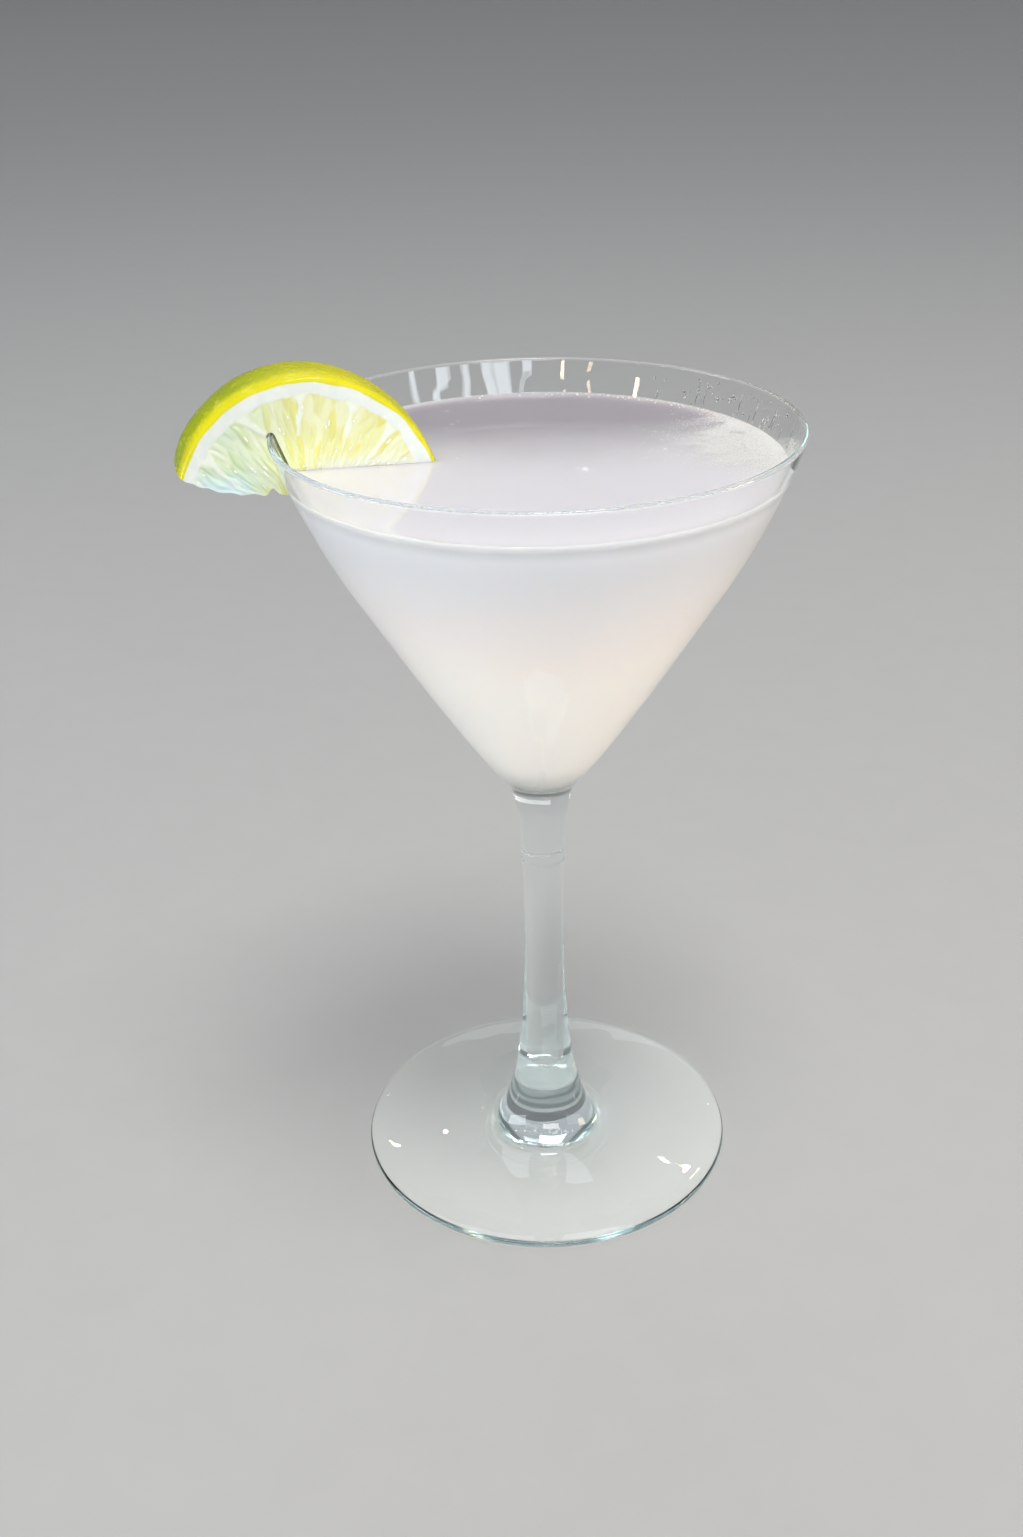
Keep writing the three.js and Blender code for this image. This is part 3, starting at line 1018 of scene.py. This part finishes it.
def clear_liquid(name, colour):
    """Clear wet stuff: a splash, or the skin of a bubble."""
    clear = Finish(name)
    clear.set(Base_Color=(*colour, 1.0), Transmission_Weight=1.0, IOR=1.34)
    clear.drive(Roughness=clear.spread(clear.noise(300.0, 2.0), 0.5, 0.8, 0.0, 0.06))
    lets_light_past(clear, (0.92, 0.92, 0.92))
    return clear.material


bubble_rows = [
    (np.array((x, y, climbed(math.hypot(x, y)))), OUT, ALONG, size, size, size * 0.75, size * 0.1)
    for x, y, size in BUBBLES
]
bubbles = beads("surface_bubbles", bubble_rows, 20, 6)
bubbles.data.materials.append(clear_liquid("bubble_skin", (0.99, 0.99, 0.99)))
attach(bubbles, "root")


# ---- Droplets -------------------------------------------------------------------------
# Splashes of the drink left on the inside of the bowl above it, at the back right: small
# clear beads, and short runs where two or three have joined.
DROPLETS = 60
DROP_SPAN = (-6, 60)
OVER_DRINK = 1.2
UNDER_RIM = 1.6
DROP_LEAST = 0.18
DROP_MORE = 0.45
RUN_SHARE = 0.2
RUN_WIDTH = 0.2
RUN_LENGTHS = (1.2, 3.0)
SLOPE_STEP = 0.5
drop_random = np.random.default_rng(47)
inner_line = inside_of_bowl()[::-1]
drop_rows = []
for _ in range(DROPLETS):
    angle = math.radians(drop_random.uniform(*DROP_SPAN))
    height = drop_random.uniform(LEVEL + OVER_DRINK, HEIGHT - UNDER_RIM)
    radius, higher = np.interp((height, height + SLOPE_STEP), inner_line[:, 1], inner_line[:, 0])
    slope = (higher - radius) / SLOPE_STEP
    away = np.array((math.cos(angle), math.sin(angle), 0.0))
    round_wall = np.array((-math.sin(angle), math.cos(angle), 0.0))
    up_wall = slope * away + OUT
    up_wall /= np.linalg.norm(up_wall)
    off_wall = np.cross(up_wall, round_wall)
    off_wall *= -np.sign(off_wall @ away)
    size = DROP_LEAST + DROP_MORE * drop_random.power(0.6)
    run = size * drop_random.uniform(1.0, 1.25)
    if drop_random.uniform() < RUN_SHARE:
        size, run = RUN_WIDTH, drop_random.uniform(*RUN_LENGTHS)
        height = LEVEL + CLIMB + run
    place = radius * away + height * OUT
    drop_rows.append((place, off_wall, up_wall, run, size, size * 0.55, 0.03))
drops = beads("wall_droplets", drop_rows, 12, 4)
drops.data.materials.append(clear_liquid("splash", (0.97, 0.98, 0.98)))
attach(drops, "root")


# ---- Studio ---------------------------------------------------------------------------
# A plain pale floor, painted matt, that sweeps up into a low wall all round. The lamps are
# soft panels: wide ones light the drink, and narrow and small ones are mirrored in the glass.
FLOOR_TOP = -0.15
FLOOR_THICK = 30.0
SWEEP_START = 5500.0
SWEEP_RADIUS = 1500.0
SWEEP_STEPS = 20
WALL_TOP = 4000.0
wall_face = SWEEP_START + SWEEP_RADIUS
sweep_middle = (SWEEP_START, FLOOR_TOP + SWEEP_RADIUS)
sweep = half_round(2 * SWEEP_STEPS, sweep_middle, SWEEP_RADIUS, -math.pi / 2)[:SWEEP_STEPS]
studio = turned("studio_floor", np.vstack([
    [(0, FLOOR_TOP)],
    sweep,
    [(wall_face, WALL_TOP)],
    [(wall_face + FLOOR_THICK, WALL_TOP)],
    [(wall_face + FLOOR_THICK, FLOOR_TOP - FLOOR_THICK)],
    [(0, FLOOR_TOP - FLOOR_THICK)],
]))
studio.data.flip_normals()
paint = Finish("pale_floor")
grain = paint.noise(60.0, 5.0, 0.6)
paint.drive(Base_Color=paint.blend(grain, (0.50, 0.50, 0.495), (0.53, 0.53, 0.525)))
paint.set(Roughness=0.65, Specular_IOR_Level=0.3)
studio.data.materials.append(paint.material)

world = bpy.data.worlds.new("studio_air")
world.use_nodes = True
air = world.node_tree.nodes["Background"]
air.inputs["Color"].default_value = (0.93, 0.96, 1.0, 1.0)
air.inputs["Strength"].default_value = 0.50
bpy.context.scene.world = world
# Light runs round inside the lip and the foot many times before it comes out.
bpy.context.scene.cycles.max_bounces = 24
bpy.context.scene.cycles.glossy_bounces = 16
bpy.context.scene.cycles.transmission_bounces = 20

BOWL_MIDDLE = Vector((0, 0, 0.13))


def lamp(name, turn, rise, away, size, power, colour):
    """A soft lamp turned towards the bowl: its bearing and rise in degrees, its distance, its
    width and height in metres, its power in watts, and its colour."""
    data = bpy.data.lights.new(name, "AREA")
    data.shape = "RECTANGLE"
    data.size, data.size_y = size
    data.energy = power
    data.color = colour
    data.spread = math.pi
    turn, rise = math.radians(turn), math.radians(rise)
    way = Vector((math.cos(turn) * math.cos(rise), math.sin(turn) * math.cos(rise), math.sin(rise)))
    light = bpy.data.objects.new(name, data)
    place = Matrix.Translation(BOWL_MIDDLE + way * away)
    light.matrix_world = place @ way.to_track_quat("Z", "Y").to_matrix().to_4x4()
    bpy.context.scene.collection.objects.link(light)


COOL = (0.86, 0.94, 1.0)
PLAIN = (1.0, 0.98, 0.95)
WARM = (1.0, 0.74, 0.48)
lamp("overhead", -65, 76, 1.5, (0.6, 0.6), 10.0, PLAIN)
lamp("front_low", -80, 14, 2.4, (1.6, 0.45), 18.5, PLAIN)
lamp("left_fill", -165, 3, 1.3, (1.0, 0.4), 6.8, COOL)
lamp("right_fill", -18, 3, 1.3, (0.9, 0.4), 1.6, PLAIN)
lamp("right_glow", -2, 8, 1.1, (0.3, 0.3), 2.2, WARM)
lamp("back_cool", 100, 56, 1.4, (0.6, 0.4), 1.2, COOL)

# Bearing and rise of each strip, and its width and height.
WINDOWS = (
    (-84, 24, 0.10, 0.20), (-74, 28, 0.16, 0.12), (-67, 25, 0.14, 0.26), (-55, 26, 0.07, 0.30),
    (-44, 24, 0.20, 0.14), (-38, 28, 0.10, 0.12), (-27, 25, 0.06, 0.30),
)
WINDOW_POWER = 16.0
WARM_SPOTS = ((-103, 28), (-116, 26), (-128, 29), (-141, 26), (-153, 28), (-164, 25))
BACK_SPOTS = ((78.8, 39.4), (101.8, 37.0))
for count, (turn, rise, width, height) in enumerate(WINDOWS):
    power = WINDOW_POWER * width * height
    lamp(f"window_{count}", turn, rise, 1.5, (width, height), power, COOL)
for count, (turn, rise) in enumerate(WARM_SPOTS):
    lamp(f"warm_spot_{count}", turn, rise, 1.6, (0.045, 0.06), 0.22, WARM)
for count, (turn, rise) in enumerate(BACK_SPOTS):
    lamp(f"back_spot_{count}", turn, rise, 1.6, (0.014, 0.014), 0.03, WARM)
